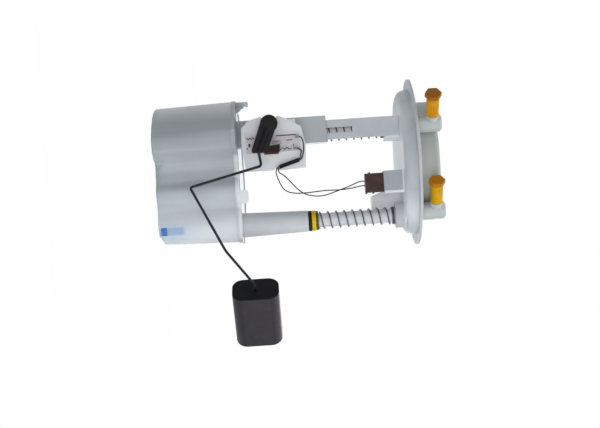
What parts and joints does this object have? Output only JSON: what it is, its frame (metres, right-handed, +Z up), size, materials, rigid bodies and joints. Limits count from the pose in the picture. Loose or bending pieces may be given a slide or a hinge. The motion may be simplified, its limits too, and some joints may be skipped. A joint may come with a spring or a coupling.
{
  "type": "fuel tank sending unit",
  "caption": "In-tank fuel module: a round tank flange carries a sprung, sliding reservoir with a float arm that measures the fuel level.",
  "frame": {"origin": "on the reservoir's underside, on the flange's axis, with the unit fully extended", "axes": "+Z up through the flange as installed, +X towards the float, -Y the side on which the float arm swings"},
  "size_m": [0.1997, 0.1358, 0.2182],
  "materials": {
    "housing_plastic": "milky moulded polymer, satin",
    "cover_plastic": "milky moulded polymer, satin",
    "spigot_plastic": "white moulded polymer, satin",
    "tube_plastic": "drawn white polymer, smooth",
    "cap_yellow": "yellow polythene, slightly glossy",
    "collar_yellow": "yellow moulded polymer",
    "seal_black": "black seal rubber",
    "washer_olive": "dark olive rubber",
    "plug_brown": "dark brown moulded polymer",
    "valve_blue": "blue moulded polymer",
    "holder_black": "black moulded polymer, soft gloss",
    "carrier_red": "dark red moulded polymer",
    "spring_steel": "drawn spring wire",
    "arm_steel": "dark plated wire",
    "contact_metal": "tinned brass",
    "pin_steel": "ground pin",
    "card_ceramic": "bare ceramic card",
    "track_ink": "printed resistor ink",
    "lead_black": "black wire insulation",
    "float_black": "closed-cell float, smooth skin",
    "strainer_mesh": "fine woven strainer",
    "flap_rubber": "soft valve rubber"
  },
  "bodies": {
    "flange": {"flange_plate": "housing_plastic", "flange_cover": "cover_plastic", "supply_spigot": "spigot_plastic", "return_spigot": "spigot_plastic", "outer_socket": "cover_plastic", "flange_terminals": "contact_metal", "supply_guide_tube": "tube_plastic", "return_guide_tube": "tube_plastic", "guide_rail": "housing_plastic", "supply_spring": "spring_steel", "return_spring": "spring_steel", "harness_plug": "plug_brown", "plug_terminals": "contact_metal", "signal_lead": "lead_black", "ground_lead": "lead_black"},
    "reservoir": {"reservoir_pot": "housing_plastic", "reservoir_lid": "housing_plastic", "supply_sleeve": "housing_plastic", "return_sleeve": "housing_plastic", "guide_seal": "seal_black", "seal_collar": "collar_yellow", "spring_washer": "washer_olive", "suction_pipe": "spigot_plastic", "suction_strainer": "strainer_mesh", "return_pipe": "spigot_plastic", "jet_pump": "valve_blue", "inlet_valve_flap": "flap_rubber", "sender_cradle": "housing_plastic", "resistor_card": "card_ceramic", "resistor_tracks": "track_ink", "card_terminals": "contact_metal", "pivot_pin": "pin_steel", "lead_sleeve": "lead_black"},
    "float_arm": {"arm_holder": "holder_black", "wiper_carrier": "carrier_red", "wiper_contacts": "contact_metal", "float_wire": "arm_steel", "float": "float_black"},
    "cap_supply": {"supply_cap": "cap_yellow"},
    "cap_return": {"return_cap": "cap_yellow"}
  },
  "joints": [
    {"name": "reservoir_slide", "type": "slide", "parent": "flange", "child": "reservoir", "axis": [0, 0, 1], "range_m": [0, 0.034], "stiffness_N_per_m": 120, "springref_m": -0.06, "deforming": ["supply_spring", "return_spring", "signal_lead", "ground_lead"]},
    {"name": "float_arm_hinge", "type": "hinge", "parent": "reservoir", "child": "float_arm", "pos_m": [-0.034, -0.05, 0.0895], "axis": [0, -1, 0], "range_deg": [-18, 33]},
    {"name": "supply_cap_pull", "type": "slide", "parent": "flange", "child": "cap_supply", "axis": [-0.766, -0.6428, 0], "range_m": [0, 0.019]},
    {"name": "return_cap_pull", "type": "slide", "parent": "flange", "child": "cap_return", "axis": [-0.7071, -0.7071, 0], "range_m": [0, 0.019]}
  ]
}
